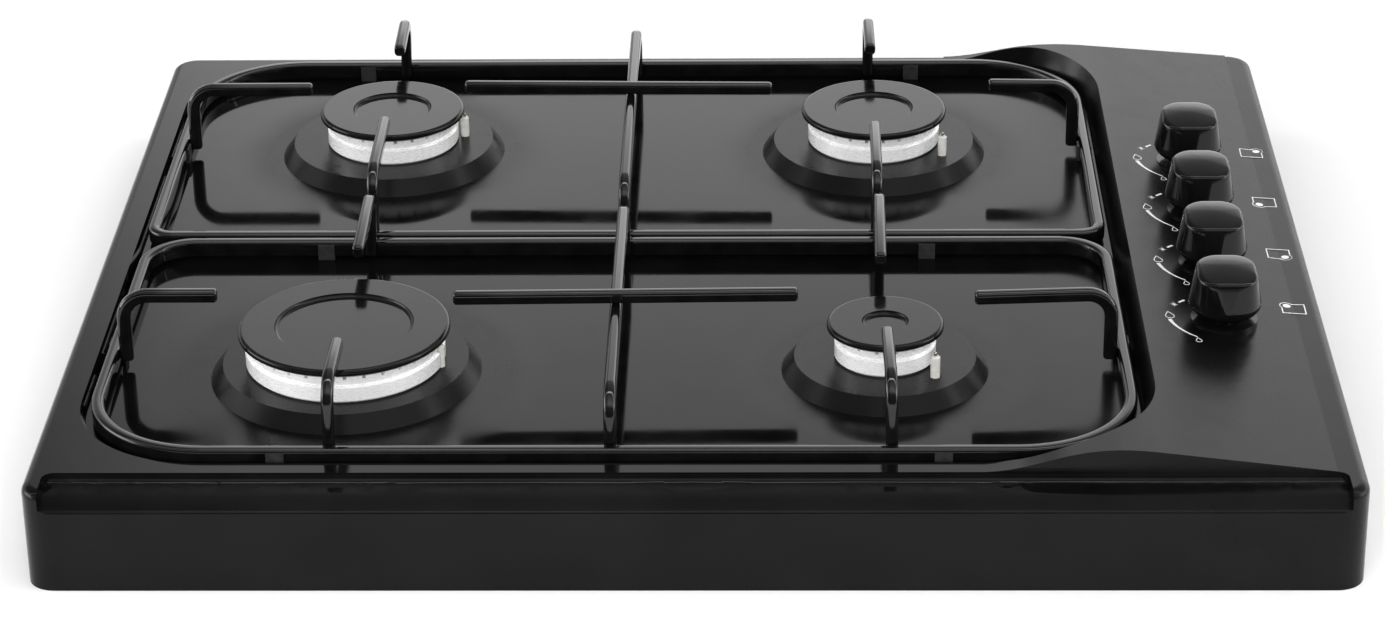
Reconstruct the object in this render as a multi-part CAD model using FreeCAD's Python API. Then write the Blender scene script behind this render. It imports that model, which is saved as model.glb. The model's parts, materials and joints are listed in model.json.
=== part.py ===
import FreeCAD, Part
import math
import os

# A four-burner gas cooktop: a pressed, enamelled steel tray with a raised control panel on
# the right, two wire grates over four burners, four push-and-turn taps, and the gas and
# ignition parts under the tray. Millimetres. X runs to the right, Y to the back and Z up.
# The origin is under the middle of the footprint, on the surface the cooktop stands on.

V = FreeCAD.Vector
UP = V(0, 0, 1)

# Tray
WIDTH = 590.0
DEPTH = 500.0
DECK_Z = 48.3
SHEET = 1.2
CORNER_R = 13.0
EDGE_R = 4.5
RIDGE_Z = 39.8
RIDGE_R = 1.3
COVE_HALF = 286.5
COVE_END_R = 5.0
COVE_WALL_Y = -230.0

# Raised control panel, as a section across the tray
PANEL_FOOT_X = 128.0
PANEL_CREST_X = 187.0
PANEL_CREST_Z = 59.0
PANEL_SLOPE = -0.122
PANEL_SLOPE_X = 203.0
PANEL_SLOPE_Z = 58.0
PANEL_END_X = 282.0
PANEL_BACK_LEAN = 51.2

# Well
WELL_X = (-278.3, 201.8)
WELL_Y = (-219.0, 238.5)
WELL_R = 58.0
WELL_Z = 42.8
WELL_FLARE = 0.4

# Burner plateaus in the well
PLATEAU_TOP_Z = 50.2
PLATEAU_SLOPE = 5.9

# Burners: centre, radii of cap, dish, crown and plateau foot, count of ports,
# and the angle and radius of the spark electrode about the centre
BURNERS = {
    "back_left": dict(x=-164.0, y=132.4, cap=37.4, dish=20.3, crown=34.0, foot=57.8,
                      ports=24, spark=8.0, spark_r=37.4),
    "back_right": dict(x=87.0, y=131.6, cap=37.4, dish=20.3, crown=34.0, foot=57.8,
                       ports=24, spark=-31.0, spark_r=40.8),
    "front_left": dict(x=-163.4, y=-121.6, cap=49.1, dish=32.3, crown=46.3, foot=62.9,
                       ports=32, spark=-10.0, spark_r=45.2),
    "front_right": dict(x=86.8, y=-119.8, cap=27.1, dish=10.8, crown=23.5, foot=48.1,
                        ports=16, spark=-44.0, spark_r=31.2),
}
CAP_TOP_Z = 68.0
CAP_BOTTOM_Z = 64.6
CAP_RIM_R = 1.7
DISH_Z = 66.2
CROWN_STEP_Z = 58.6
CROWN_WALL = 3.5
NECK_SHARE = 0.55
THROAT_SHARE = 0.28
THROAT_WALL = 2.2
THROAT_Z = 33.0
PORT_WIDTH = 1.6
PORT_Z = 61.6
CUP_FLOOR_Z = 12.0
CUP_WALL = 2.2
CUP_FLANGE = 4.5
CUP_FLANGE_T = 2.5
CUP_LIP_Z = 54.0
SPARK_R = 2.25
SPARK_TOP_Z = 60.8
SPARK_TIP_R = 0.8
SPARK_TIP = 1.9

# Grates: rounded bars, in a frame that stands on the well floor on rubber feet
GRATE_X = (-277.2, 200.2)
GRATE_Y = {"back": (10.1, 235.3), "front": (-217.7, 9.5)}
GRATE_FAR_R = 57.0
GRATE_SPLIT_R = {"back": 13.0, "front": 26.0}
RAIL_W = 5.8
RAIL_Z = (43.7, 52.5)
RAIL_EDGE_R = 1.7
BAR_W = 5.6
BAR_H = 6.4
BAR_EDGE_R = 1.3
BEND_R = 6.3
LEG_Z = 47.8
BAR_TOP_Z = 83.0
BRIDGE_X = -38.4
CROSS_Y = {"back": 129.5, "front": -116.0}
CROSS_X = {"back": (-124.7, 34.1), "front": (-112.7, 46.5)}
SIDE_TIP_X = {"back": (-208.9, 146.4), "front": (-222.3, 127.8)}
LEFT_X = -163.2
RIGHT_X = 86.6
LEFT_TIP_Y = {"back": (87.2, 180.9), "front": (-164.9, -69.9)}
RIGHT_TIP_Y = {"back": (79.4, 180.6), "front": (-154.8, -79.0)}
FOOT_L = 8.0
FOOT_PROUD = 0.5
FOOT_INSIDE = 1.0
FOOT_TOP_Z = 50.6
FOOT_SPREAD = 148.0

# Knobs and taps
KNOB_X = 246.5
KNOB_Y = (93.0, 32.0, -29.0, -90.0)
KNOB_RIM_Z = 58.2
KNOB_RIM_R = 17.4
KNOB_NECK_R = 15.6
KNOB_NECK_Z = 63.0
KNOB_TOP_Z = 80.7
KNOB_TOP_W = 26.6
KNOB_TOP_R = 8.0
KNOB_DOME_R = 46.0
KNOB_DOME_BACK = 8.0
KNOB_RECESS_R = 14.8
KNOB_RECESS = 3.2
BEZEL_R = 15.6
BEZEL_HOLE_R = 7.0
BEZEL_TOP_Z = 54.9
SPINDLE_R = 4.0
SPINDLE_FLAT = 2.6
SPINDLE_HOLE_R = 5.5
RUNNING_GAP = 0.05
TAP_X = (232.0, 260.0)
TAP_HALF_Y = 13.0
TAP_Z = (11.0, 35.0)
TAP_NECK_R = 9.0
TAP_NECK_Z = 43.0
TAP_CHAMBER_R = 7.4
PLUG_Z = (14.0, 32.0)
PLUG_R = (5.2, 6.6)
PLUG_SLOT_W = 3.2
PLUG_SLOT_Z = 24.0
TONGUE_Z = 29.0
SPINDLE_FOOT_Z = 37.2
SPINDLE_TOP_Z = 73.0

# Gas pipes under the tray
RAIL_X = 268.0
GAS_Z = 22.0
LOW_GAS_Z = 13.0
GAS_RAIL_R = 8.0
GAS_RAIL_Y = (-112.0, 205.0)
PIPE_R = 4.0
PIPE_BEND_R = 16.0
PIPE_START_X = 228.0
NUT_R = 7.0
NUT_L = 9.0
JET_R = 4.5
INLET_THREAD_R = 10.48
INLET_THREAD_L = 14.0
INLET_BORE_R = 6.0
INLET_CUT = 15.5

# Bottom, brackets and screws
PAN_Z = 3.0
PAN_SHEET = 1.0
PAN_RIM_Z = 0.8
PAN_GAP = 0.3
PAN_FIELD = (235.0, 185.0)
PAN_FIELD_R = 20.0
PAN_FIELD_RISE = 3.0
BRACKET_W = 18.0
BRACKET_L = 14.0
BRACKET_H = 10.0
BRACKET_T = 1.5
BRACKET_SCREW = 9.0
BRACKETS_FRONT_X = (-200.0, 0.0, 200.0)
BRACKETS_BACK_X = (-200.0, 0.0)
BRACKETS_SIDE_Y = (-150.0, 150.0)
SCREW_R = 2.0
SCREW_L = 8.0
SCREW_HEAD_R = 3.6
SCREW_HEAD = 1.8
CLAMP_SPACING = (500.0, 400.0)
CLAMP_HOLE_R = 2.7
VENT = (4.0, 40.0)
VENT_X = (-60.0, -48.0, -36.0, -24.0, -12.0, 0.0, 12.0)
VENT_Y = (-130.0, 50.0)

# Electrical parts
SWITCH_SIZE = (7.0, 20.0, 6.5)
SPARK_BOX_X = (148.0, 210.0)
SPARK_BOX_Y = (-182.0, -142.0)
SPARK_BOX_H = 24.0
SPARK_POST_R = 2.5
SPARK_POST_H = 5.0
BLOCK_X = (190.0, 226.0)
BLOCK_Y = (196.0, 216.0)
BLOCK_H = 16.0
BLOCK_SCREW_R = 2.4
GLAND_X = 208.0
GLAND_Z = 16.0
GLAND_R = 5.5
GLAND_BORE_R = 3.6
GLAND_NUT_R = 8.5
GLAND_NUT = 5.0
GLAND_IN = 12.0


def box(x, y, z):
    """A block between pairs of coordinates."""
    return Part.makeBox(x[1] - x[0], y[1] - y[0], z[1] - z[0], V(x[0], y[0], z[0]))


def rod(x, y, z, radius):
    """An upright cylinder between two heights."""
    return Part.makeCylinder(radius, z[1] - z[0], V(x, y, z[0]))


def outline(to_space, start, *steps):
    """A closed wire: each step is a point for a line, or (middle, end) for an arc."""
    edges = []
    here = start
    for step in steps + (start,):
        if isinstance(step[0], tuple):
            middle, end = step
            arc = Part.Arc(to_space(*here), to_space(*middle), to_space(*end))
            edges.append(arc.toShape())
        else:
            end = step
            edges.append(Part.LineSegment(to_space(*here), to_space(*end)).toShape())
        here = end
    return Part.Wire(edges)


def arc_middle(centre, radius, degrees):
    """A point on a circle, for the middle of an arc."""
    angle = math.radians(degrees)
    return (centre[0] + radius * math.cos(angle), centre[1] + radius * math.sin(angle))


def rounded_rectangle(x, y, radii, z):
    """A wire in a level plane; radii go round from the front left corner."""
    corners = (
        (x[0], y[0], 1, 1, 225),
        (x[1], y[0], -1, 1, 315),
        (x[1], y[1], -1, -1, 45),
        (x[0], y[1], 1, -1, 135),
    )
    steps = []
    for (cx, cy, sx, sy, middle), r in zip(corners, radii):
        centre = (cx + sx * r, cy + sy * r)
        first = (cx, cy + sy * r)
        last = (cx + sx * r, cy)
        if middle in (315, 135):
            first, last = last, first
        steps.append(first)
        steps.append((arc_middle(centre, r, middle), last))
    return outline(lambda a, b: V(a, b, z), *steps)


def slab(wire, height):
    """The closed wire pushed up by the height."""
    return Part.Face(wire).extrude(UP * height)


def turned(x, y, *profile):
    """A solid of revolution about an upright axis, from an (r, z) outline."""
    wire = outline(lambda r, z: V(x + r, y, z), *profile)
    return Part.Face(wire).revolve(V(x, y, 0), UP, 360)


def level_edges(shape, z):
    """Edges that lie wholly at one height."""
    found = []
    for edge in shape.Edges:
        bounds = edge.BoundBox
        if abs(bounds.ZMin - z) < 0.01 and abs(bounds.ZMax - z) < 0.01:
            found.append(edge)
    return found


def upright_edges(shape):
    """Straight edges that run along Z."""
    found = []
    for edge in shape.Edges:
        bounds = edge.BoundBox
        if bounds.XLength < 0.01 and bounds.YLength < 0.01:
            found.append(edge)
    return found


def bent_path(points, radius):
    """Straight runs through the points, joined by tangent arcs of one radius."""
    edges = []
    here = points[0]
    for before, corner, after in zip(points, points[1:], points[2:]):
        arrive = (corner - before).normalize()
        leave = (after - corner).normalize()
        half_turn = arrive.getAngle(leave) / 2
        reach = radius * math.tan(half_turn)
        first = corner - arrive * reach
        last = corner + leave * reach
        inward = (leave - arrive).normalize()
        middle = corner + inward * (radius / math.cos(half_turn) - radius)
        edges.append(Part.LineSegment(here, first).toShape())
        edges.append(Part.Arc(first, middle, last).toShape())
        here = last
    edges.append(Part.LineSegment(here, points[-1]).toShape())
    return Part.Wire(edges)


def solid_of(shape):
    """The one solid of a result."""
    assert len(shape.Solids) == 1, len(shape.Solids)
    return shape.Solids[0]


# ---- tray ----

def panel_section(drop, y):
    """The panel's top line across the tray, closed below, for a sheet face at a drop."""
    def place(x, z):
        return V(x, y, z - drop)

    foot = place(PANEL_FOOT_X, DECK_Z)
    crest = place(PANEL_CREST_X, PANEL_CREST_Z)
    rise = Part.BSplineCurve()
    rise.interpolate([foot, place(160.0, 55.0), crest],
                     InitialTangent=V(30, 0, 1), FinalTangent=V(30, 0, 0))
    slope = Part.BSplineCurve()
    slope.interpolate([crest, place(PANEL_SLOPE_X, PANEL_SLOPE_Z)],
                      InitialTangent=V(16, 0, 0), FinalTangent=V(16, 0, 16 * PANEL_SLOPE))
    shoulder = place(PANEL_SLOPE_X, PANEL_SLOPE_Z)
    end = place(PANEL_END_X, PANEL_SLOPE_Z + PANEL_SLOPE * (PANEL_END_X - PANEL_SLOPE_X))
    below_end = V(PANEL_END_X, y, DECK_Z - drop - 8)
    below_foot = V(PANEL_FOOT_X, y, DECK_Z - drop - 8)
    lines = ((shoulder, end), (end, below_end), (below_end, below_foot), (below_foot, foot))
    edges = [rise.toShape(), slope.toShape()]
    edges += [Part.LineSegment(a, b).toShape() for a, b in lines]
    return Part.Wire(edges)


def panel_block(inset):
    """The raised panel, with its back end leaning forward."""
    length = DEPTH - 2 * inset
    block = Part.Face(panel_section(inset, inset - DEPTH / 2)).extrude(V(0, length, 0))
    lean = math.radians(PANEL_BACK_LEAN)
    tangent_y = DEPTH / 2 - EDGE_R + EDGE_R * math.sin(lean) - inset
    tangent_z = DECK_Z - EDGE_R + EDGE_R * math.cos(lean) - inset
    run = 20.0
    cutter = outline(
        lambda y, z: V(PANEL_FOOT_X - 5, y, z),
        (tangent_y, tangent_z - 8),
        (tangent_y, tangent_z),
        (tangent_y - run * math.cos(lean), tangent_z + run * math.sin(lean)),
        (tangent_y + run, tangent_z + run),
        (tangent_y + run, tangent_z - 8),
    )
    return block.cut(Part.Face(cutter).extrude(V(PANEL_END_X - PANEL_FOOT_X + 10, 0, 0)))


def cove_cutter(inset):
    """What is cut away over the front cove, for the sheet's outer or inner face."""
    front = -DEPTH / 2 + inset
    ridge = RIDGE_Z - inset
    radius = max(RIDGE_R - inset, 0.2)
    wall = COVE_WALL_Y + inset
    far = -DEPTH / 2 - 20
    curve = Part.BSplineCurve()
    curve.interpolate(
        [V(0, front + radius, ridge), V(0, -240 + inset, 42.9 - inset), V(0, wall, 47.2 - inset)],
        InitialTangent=V(0, 9, 2.0), FinalTangent=V(0, 0.6, 6))
    arc = Part.Arc(
        V(0, front, ridge - radius),
        V(0, front + radius * (1 - math.cos(math.pi / 4)), ridge - radius + radius * math.sin(math.pi / 4)),
        V(0, front + radius, ridge))
    corners = [V(0, wall, 47.2 - inset), V(0, wall, 80), V(0, far, 80),
               V(0, far, ridge - radius), V(0, front, ridge - radius)]
    edges = [arc.toShape(), curve.toShape()]
    edges += [Part.LineSegment(a, b).toShape() for a, b in zip(corners, corners[1:])]
    section = Part.Face(Part.Wire(edges))
    section.translate(V(-WIDTH / 2, 0, 0))
    along = section.extrude(V(WIDTH, 0, 0))
    half = COVE_HALF + inset
    plan = rounded_rectangle((-half, half), (far - 10, wall), [COVE_END_R] * 4, 0)
    return along.common(slab(plan, 100))


def well_cutter(inset):
    """The well's space, flared upward, for the sheet's outer or inner face."""
    rise = 22.0
    wires = []
    for height in (0.0, rise):
        grow = height * WELL_FLARE + inset
        wires.append(rounded_rectangle(
            (WELL_X[0] - grow, WELL_X[1] + grow),
            (WELL_Y[0] - grow, WELL_Y[1] + grow),
            [WELL_R + grow] * 4,
            WELL_Z - inset + height))
    return Part.makeLoft(wires, True, True)


def plateau(burner, inset):
    """A low cone frustum under a burner."""
    height = PLATEAU_TOP_Z - WELL_Z
    bottom = V(burner["x"], burner["y"], WELL_Z - inset - 1)
    slope = PLATEAU_SLOPE / height
    return Part.makeCone(burner["foot"] - inset + slope, burner["foot"] - inset - PLATEAU_SLOPE,
                         height + 1, bottom)


def tray_form(inset):
    """The tray as a full block; the difference of two insets is the sheet."""
    x = (-WIDTH / 2 + inset, WIDTH / 2 - inset)
    y = (-DEPTH / 2 + inset, DEPTH / 2 - inset)
    block = slab(rounded_rectangle(x, y, [CORNER_R - inset] * 4, 0), DECK_Z - inset)
    block = block.makeFillet(EDGE_R - inset, level_edges(block, DECK_Z - inset))
    block = block.fuse(panel_block(inset))
    block = block.cut(cove_cutter(inset))
    block = block.cut(well_cutter(inset))
    return block.fuse([plateau(burner, inset) for burner in BURNERS.values()])


def spark_place(burner):
    """Where a burner's electrode stands."""
    return arc_middle((burner["x"], burner["y"]), burner["spark_r"], burner["spark"])


def top_tray():
    """Pressed sheet with its holes and the cut-outs in the rear apron."""
    tray = tray_form(0).cut(tray_form(SHEET))
    holes = []
    for burner in BURNERS.values():
        neck = burner["crown"] * NECK_SHARE + 0.4
        holes.append(rod(burner["x"], burner["y"], (40, 60), neck))
        holes.append(rod(*spark_place(burner), (40, 60), SPARK_R + 0.4))
    for y in KNOB_Y:
        holes.append(rod(KNOB_X, y, (40, 70), SPINDLE_HOLE_R))
    rear = (DEPTH / 2 - 5, DEPTH / 2 + 5)
    holes.append(box((RAIL_X - INLET_CUT, RAIL_X + INLET_CUT), rear, (-1, GAS_Z + INLET_CUT)))
    holes.append(Part.makeCylinder(GLAND_R, 10, V(GLAND_X, rear[0], GLAND_Z), V(0, 1, 0)))
    return solid_of(tray.cut(holes))


# ---- burners ----

def burner_cup(burner):
    """Injector holder: an open cup that hangs under the plateau, with a neck through it."""
    x, y = burner["x"], burner["y"]
    neck = burner["crown"] * NECK_SHARE
    bore = neck - CUP_WALL
    under = PLATEAU_TOP_Z - SHEET
    flange = neck + CUP_FLANGE
    cup = turned(
        x, y, (0, CUP_FLOOR_Z), (neck - 3, CUP_FLOOR_Z),
        (arc_middle((neck - 3, CUP_FLOOR_Z + 3), 3, -45), (neck, CUP_FLOOR_Z + 3)),
        (neck, under - CUP_FLANGE_T), (flange, under - CUP_FLANGE_T), (flange, under),
        (neck, under), (neck, CUP_LIP_Z), (bore, CUP_LIP_Z),
        (bore, CUP_FLOOR_Z + CUP_WALL), (0, CUP_FLOOR_Z + CUP_WALL))
    jet_seat = rod(x, y, (CUP_FLOOR_Z, CUP_FLOOR_Z + 9), JET_R + 2)
    air = [Part.makeCylinder(4, 4 * neck, V(x, y - 2 * neck, 36), V(0, 1, 0)),
           Part.makeCylinder(4, 4 * neck, V(x - 2 * neck, y, 36), V(1, 0, 0))]
    jet_bore = rod(x, y, (CUP_FLOOR_Z + 4, 40), JET_R - 1)
    return solid_of(cup.fuse(jet_seat).cut(air).cut(jet_bore))


def injector(burner):
    """A brass jet screwed into the cup's seat: hexagon over a threaded stem."""
    x, y = burner["x"], burner["y"]
    seat = CUP_FLOOR_Z + 9
    corners = [V(x + (JET_R + 0.8) * math.cos(math.radians(60 * k)),
                 y + (JET_R + 0.8) * math.sin(math.radians(60 * k)), seat) for k in range(7)]
    head = slab(Part.makePolygon(corners), 4)
    tip = Part.makeCone(JET_R - 0.5, 1.8, 4, V(x, y, seat + 4))
    stem = rod(x, y, (CUP_FLOOR_Z + 4, seat), JET_R - 1)
    jet = head.fuse([tip, stem])
    return solid_of(jet.cut(rod(x, y, (seat + 1, seat + 9), 0.6)))


def burner_crown(burner):
    """Flame spreader: skirt, step, flared port ring, venturi throat and radial slots."""
    x, y, r = burner["x"], burner["y"], burner["crown"]
    neck = r * NECK_SHARE + 0.3
    throat = r * THROAT_SHARE
    outer_throat = throat + THROAT_WALL
    inside = r - CROWN_WALL
    crown = turned(
        x, y, (inside, PLATEAU_TOP_Z), (r - 1.0, PLATEAU_TOP_Z), (r, PLATEAU_TOP_Z + 1.0),
        (r, CROWN_STEP_Z - 0.8), (r - 0.8, CROWN_STEP_Z), (r - 1.4, CROWN_STEP_Z),
        (r - 0.4, CAP_BOTTOM_Z), (inside, CAP_BOTTOM_Z), (inside, CROWN_STEP_Z + 0.6),
        (throat + 4, CROWN_STEP_Z + 0.6), (throat + 2, CROWN_STEP_Z + 3), (throat, CROWN_STEP_Z + 3),
        (throat, THROAT_Z + 4), (throat + 1.2, THROAT_Z), (outer_throat, THROAT_Z),
        (outer_throat, CROWN_STEP_Z - 2.4), (neck, CROWN_STEP_Z - 2.4), (neck, PLATEAU_TOP_Z + 1),
        (neck + 2, PLATEAU_TOP_Z + 1), (neck + 2, CROWN_STEP_Z - 3.4),
        (inside, CROWN_STEP_Z - 3.4))
    cuts = []
    for k in range(burner["ports"]):
        slot = box((x + inside - 1, x + r + 2), (y - PORT_WIDTH / 2, y + PORT_WIDTH / 2),
                   (PORT_Z, CAP_BOTTOM_Z + 1))
        slot.rotate(V(x, y, 0), UP, 360 * (k + 0.5) / burner["ports"])
        cuts.append(slot)
    if burner["spark_r"] - SPARK_R - 0.6 < r:
        cuts.append(rod(*spark_place(burner), (PLATEAU_TOP_Z - 1, CAP_BOTTOM_Z + 1), SPARK_R + 1.2))
    return solid_of(crown.cut(cuts))


def burner_cap(burner):
    """Dished cap with a rounded rim and a locating ring that drops into the crown."""
    x, y, r, dish = burner["x"], burner["y"], burner["cap"], burner["dish"]
    ring = burner["crown"] - CROWN_WALL - 0.6
    rim = CAP_TOP_Z - CAP_RIM_R
    depth = CAP_TOP_Z - DISH_Z
    cap = turned(
        x, y, (0, DISH_Z), (dish - depth, DISH_Z),
        (arc_middle((dish - depth, CAP_TOP_Z), depth, -45), (dish, CAP_TOP_Z)),
        (r - CAP_RIM_R, CAP_TOP_Z),
        (arc_middle((r - CAP_RIM_R, rim), CAP_RIM_R, 45), (r, rim)),
        (r, CAP_BOTTOM_Z + 0.7), (r - 0.7, CAP_BOTTOM_Z),
        (ring, CAP_BOTTOM_Z), (ring - 0.4, CAP_BOTTOM_Z - 2.2), (ring - 2, CAP_BOTTOM_Z - 2.2),
        (ring - 2.2, CAP_BOTTOM_Z), (0, CAP_BOTTOM_Z))
    if burner["spark_r"] - SPARK_R - 0.6 < burner["crown"]:
        sight = rod(*spark_place(burner), (CAP_BOTTOM_Z - 4, CAP_BOTTOM_Z + 1.4), SPARK_R + 1.0)
        cap = cap.cut(sight)
    return solid_of(cap)


def electrode_insulator(burner):
    """Ceramic peg that stands through the plateau, with a shoulder under the sheet."""
    x, y = spark_place(burner)
    under = PLATEAU_TOP_Z - SHEET
    return turned(
        x, y, (0, 28), (SPARK_R - 0.4, 28), (SPARK_R, 29), (SPARK_R, under - 4),
        (SPARK_R + 1.8, under - 4), (SPARK_R + 1.8, under), (SPARK_R, under),
        (SPARK_R, SPARK_TOP_Z - 0.8), (SPARK_R - 0.8, SPARK_TOP_Z), (0, SPARK_TOP_Z))


def electrode_tip(burner):
    """Steel wire end on top of the ceramic."""
    return turned(
        *spark_place(burner), (0, SPARK_TOP_Z), (SPARK_TIP_R, SPARK_TOP_Z),
        (SPARK_TIP_R, SPARK_TOP_Z + SPARK_TIP - 0.5), (0, SPARK_TOP_Z + SPARK_TIP))


# ---- grates ----

def grate_frame(side):
    """Closed rail of a grate, with rounded edges."""
    y0, y1 = GRATE_Y[side]
    split = GRATE_SPLIT_R[side]
    radii = [split, split, GRATE_FAR_R, GRATE_FAR_R]
    if side == "front":
        radii = radii[::-1]
    height = RAIL_Z[1] - RAIL_Z[0]
    outside = slab(rounded_rectangle(GRATE_X, (y0, y1), radii, RAIL_Z[0]), height)
    inside = slab(rounded_rectangle(
        (GRATE_X[0] + RAIL_W, GRATE_X[1] - RAIL_W), (y0 + RAIL_W, y1 - RAIL_W),
        [r - RAIL_W for r in radii], RAIL_Z[0]), height)
    rail = outside.cut(inside)
    edges = level_edges(rail, RAIL_Z[0]) + level_edges(rail, RAIL_Z[1])
    return solid_of(rail.makeFillet(RAIL_EDGE_R, edges))


def bar(points, across):
    """A rounded bar bent through the points; across is the level way over its width."""
    start = points[0]
    along = (points[1] - start).normalize()
    side = along.cross(across).normalize()
    half_w = BAR_W / 2
    half_h = BAR_H / 2
    flat = rounded_rectangle((-half_w, half_w), (-half_h, half_h), [BAR_EDGE_R] * 4, 0)
    place = FreeCAD.Placement(start, FreeCAD.Rotation(across, side, along, "XZY"))
    section = flat.transformGeometry(place.toMatrix())
    path = bent_path(points, BEND_R) if len(points) > 2 else Part.Wire(
        [Part.LineSegment(points[0], points[1]).toShape()])
    swept = path.makePipeShell([section], True, False)
    return solid_of(swept)


def long_rail_finger(side, x, at_back, tip_y, top):
    """A finger that rises from a long rail and runs over a burner to its tip."""
    y0, y1 = GRATE_Y[side]
    leg_y = y1 - RAIL_W - BAR_H / 2 if at_back else y0 + RAIL_W + BAR_H / 2
    z = top - BAR_H / 2
    return bar([V(x, leg_y, LEG_Z), V(x, leg_y, z), V(x, tip_y, z)], V(1, 0, 0))


def side_rail_finger(side, at_right, tip_x):
    """A finger that rises from a side rail and runs over a burner to its tip."""
    leg_x = GRATE_X[1] - RAIL_W - BAR_H / 2 if at_right else GRATE_X[0] + RAIL_W + BAR_H / 2
    y = CROSS_Y[side]
    z = BAR_TOP_Z - BAR_H / 2
    return bar([V(leg_x, y, LEG_Z), V(leg_x, y, z), V(tip_x, y, z)], V(0, 1, 0))


def grate_fingers(side):
    """The six free fingers of a grate."""
    fingers = []
    for x, tips in ((LEFT_X, LEFT_TIP_Y[side]), (RIGHT_X, RIGHT_TIP_Y[side])):
        fingers.append(long_rail_finger(side, x, False, tips[0], BAR_TOP_Z))
        fingers.append(long_rail_finger(side, x, True, tips[1], BAR_TOP_Z))
    fingers.append(side_rail_finger(side, False, SIDE_TIP_X[side][0]))
    fingers.append(side_rail_finger(side, True, SIDE_TIP_X[side][1]))
    return Part.makeCompound(fingers)


def grate_bridge(side):
    """The lower bar between the two burners, from one long rail to the other."""
    y0, y1 = GRATE_Y[side]
    first = y0 + RAIL_W + BAR_H / 2
    last = y1 - RAIL_W - BAR_H / 2
    z = BAR_TOP_Z - BAR_H - BAR_H / 2
    points = [V(BRIDGE_X, first, LEG_Z), V(BRIDGE_X, first, z),
              V(BRIDGE_X, last, z), V(BRIDGE_X, last, LEG_Z)]
    return bar(points, V(1, 0, 0))


def grate_cross_bar(side):
    """The bar that lies on the bridge and reaches over both burners."""
    z = BAR_TOP_Z - BAR_H / 2
    x0, x1 = CROSS_X[side]
    return bar([V(x0, CROSS_Y[side], z), V(x1, CROSS_Y[side], z)], V(0, 1, 0))


def grate_feet(side, frame):
    """Six rubber feet clipped round the lower part of the rail."""
    y0, y1 = GRATE_Y[side]
    middle = (GRATE_X[0] + GRATE_X[1]) / 2
    z = (WELL_Z, FOOT_TOP_Z)
    outside = {y0: 0.0 if side == "back" else FOOT_PROUD, y1: 0.0 if side == "front" else FOOT_PROUD}
    feet = []
    for x in (middle - FOOT_SPREAD, middle + FOOT_SPREAD):
        across = (x - FOOT_L / 2, x + FOOT_L / 2)
        feet.append(box(across, (y0 - outside[y0], y0 + RAIL_W + FOOT_INSIDE), z))
        feet.append(box(across, (y1 - RAIL_W - FOOT_INSIDE, y1 + outside[y1]), z))
    along = ((y0 + y1) / 2 - FOOT_L / 2, (y0 + y1) / 2 + FOOT_L / 2)
    feet.append(box((GRATE_X[0] - FOOT_PROUD, GRATE_X[0] + RAIL_W + FOOT_INSIDE), along, z))
    feet.append(box((GRATE_X[1] - RAIL_W - FOOT_INSIDE, GRATE_X[1] + FOOT_PROUD), along, z))
    return Part.makeCompound([solid_of(foot.cut(frame)) for foot in feet])


# ---- knobs and taps ----

def panel_height(x):
    """Height of the panel's sloping face at x."""
    return PANEL_SLOPE_Z + PANEL_SLOPE * (x - PANEL_SLOPE_X)


def knob(y):
    """Knob: flared round skirt, waist, body turning rounded square, and a sloping dome."""
    x = KNOB_X
    skirt = turned(
        x, y, (0, KNOB_RIM_Z), (KNOB_RIM_R - 0.6, KNOB_RIM_Z), (KNOB_RIM_R, KNOB_RIM_Z + 0.6),
        (KNOB_RIM_R, KNOB_RIM_Z + 1.6),
        ((KNOB_NECK_R + 0.5, KNOB_RIM_Z + 2.9), (KNOB_NECK_R, KNOB_NECK_Z)),
        (0, KNOB_NECK_Z))
    wires = []
    for z, half, corner in ((KNOB_NECK_Z, KNOB_NECK_R, KNOB_NECK_R - 0.15),
                            (KNOB_TOP_Z, KNOB_TOP_W / 2, KNOB_TOP_R)):
        wires.append(rounded_rectangle((x - half, x + half), (y - half, y + half), [corner] * 4, z))
    body = Part.makeLoft(wires, True, True)
    shape = skirt.fuse(body)
    dome = Part.makeSphere(KNOB_DOME_R, V(x, y + KNOB_DOME_BACK, KNOB_TOP_Z - KNOB_DOME_R))
    below = rod(x, y, (KNOB_RIM_Z - 1, KNOB_TOP_Z - KNOB_DOME_R / 3), KNOB_RIM_R + 1)
    shape = shape.common(dome.fuse(below))
    recess = rod(x, y, (KNOB_RIM_Z - 1, KNOB_RIM_Z + KNOB_RECESS), KNOB_RECESS_R)
    return solid_of(shape.cut(recess).cut(spindle_bar(y, KNOB_RIM_Z - 1)))


def knob_bezel(y):
    """Level ring that fills the wedge between the sloping panel and the knob."""
    ring = rod(KNOB_X, y, (40, BEZEL_TOP_Z), BEZEL_R)
    ring = ring.cut(rod(KNOB_X, y, (39, BEZEL_TOP_Z + 1), BEZEL_HOLE_R))
    reach = 30
    wedge = outline(
        lambda x, z: V(x, y - reach, z),
        (KNOB_X - reach, 30), (KNOB_X + reach, 30),
        (KNOB_X + reach, panel_height(KNOB_X + reach)),
        (KNOB_X - reach, panel_height(KNOB_X - reach)))
    return solid_of(ring.cut(Part.Face(wedge).extrude(V(0, 2 * reach, 0))))


def spindle_bar(y, bottom):
    """The D-shaped upper bar of a spindle from a height to its top."""
    bar_solid = rod(KNOB_X, y, (bottom, SPINDLE_TOP_Z), SPINDLE_R)
    flat = box((KNOB_X - 10, KNOB_X + 10), (y + SPINDLE_FLAT, y + 10), (48, SPINDLE_TOP_Z + 1))
    return bar_solid.cut(flat)


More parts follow.
